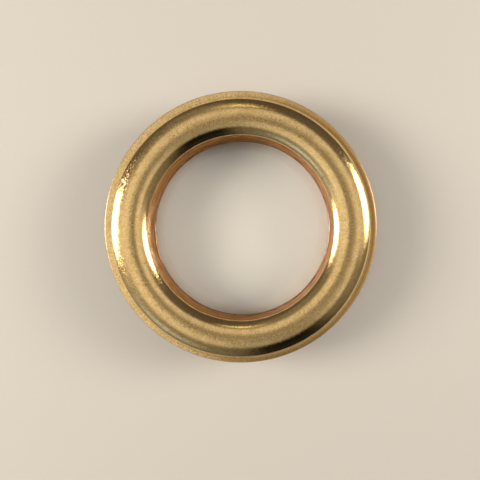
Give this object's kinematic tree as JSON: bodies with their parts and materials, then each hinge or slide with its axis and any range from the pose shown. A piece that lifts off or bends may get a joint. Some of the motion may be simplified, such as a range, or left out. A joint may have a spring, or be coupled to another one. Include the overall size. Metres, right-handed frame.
{
  "type": "push-in supplementary portrait lens",
  "caption": "Shallow domed brass ring holding a weak meniscus, with sprung clips that push into a lens hood and a screwed retaining ring behind the glass.",
  "frame": {"origin": "on the optical axis, in the plane of the barrel's foot, on which the mount stands", "axes": "+Z along the optical axis, out of the domed front, towards the sitter; +X and +Y across it"},
  "size_m": [0.07, 0.07, 0.014],
  "materials": {
    "satin_brass": "satin, lightly tarnished, with fine speckle and scratches",
    "turned_brass": "turned and polished, with fine tool rings",
    "spring_bronze": "rolled spring bronze, brushed lengthways",
    "screw_steel": "plain steel, slightly worn",
    "lens_glass": "clear polished crown glass, uncoated",
    "green_felt": "dark green pressed felt",
    "black_paper": "matt black paper"
  },
  "bodies": {
    "mount": {"domed_bezel": "satin_brass", "stop_flange": "satin_brass", "lens_barrel": "turned_brass", "backing_ring": "turned_brass", "felt_washer": "green_felt", "seat_gasket": "black_paper", "flange_screw_1": "screw_steel", "flange_screw_2": "screw_steel", "flange_screw_3": "screw_steel", "flange_screw_4": "screw_steel", "spring_screw_1": "screw_steel", "spring_screw_2": "screw_steel", "spring_screw_3": "screw_steel", "spring_screw_4": "screw_steel", "spring_screw_5": "screw_steel", "spring_screw_6": "screw_steel"},
    "glass": {"portrait_lens": "lens_glass", "wave_washer": "spring_bronze"},
    "retainer": {"retaining_ring": "turned_brass"},
    "clip_1": {"grip_spring_1": "spring_bronze"},
    "clip_2": {"grip_spring_2": "spring_bronze"},
    "clip_3": {"grip_spring_3": "spring_bronze"}
  },
  "joints": [
    {"name": "glass_travel", "type": "slide", "parent": "mount", "child": "glass", "axis": [0, 0, -1], "range_m": [0, 0.00135]},
    {"name": "retainer_turn", "type": "hinge", "parent": "glass", "child": "retainer", "pos_m": [0, 0, 0.0021], "axis": [0, 0, -1], "range_deg": [0, 648]},
    {"name": "clip_1_flex", "type": "hinge", "parent": "mount", "child": "clip_1", "pos_m": [-0.00474, 0.02689, 0.0049], "axis": [0, 0, 1], "range_deg": [0, 2.8], "stiffness_Nm_per_rad": 1},
    {"name": "clip_2_flex", "type": "hinge", "parent": "mount", "child": "clip_2", "pos_m": [-0.02091, -0.01755, 0.0049], "axis": [0, 0, 1], "range_deg": [0, 2.8], "stiffness_Nm_per_rad": 1},
    {"name": "clip_3_flex", "type": "hinge", "parent": "mount", "child": "clip_3", "pos_m": [0.02565, -0.00934, 0.0049], "axis": [0, 0, 1], "range_deg": [0, 2.8], "stiffness_Nm_per_rad": 1}
  ],
  "couplings": [
    {"joint": "glass_travel", "follows": "retainer_turn", "m_per_rad": 0.00011937}
  ]
}
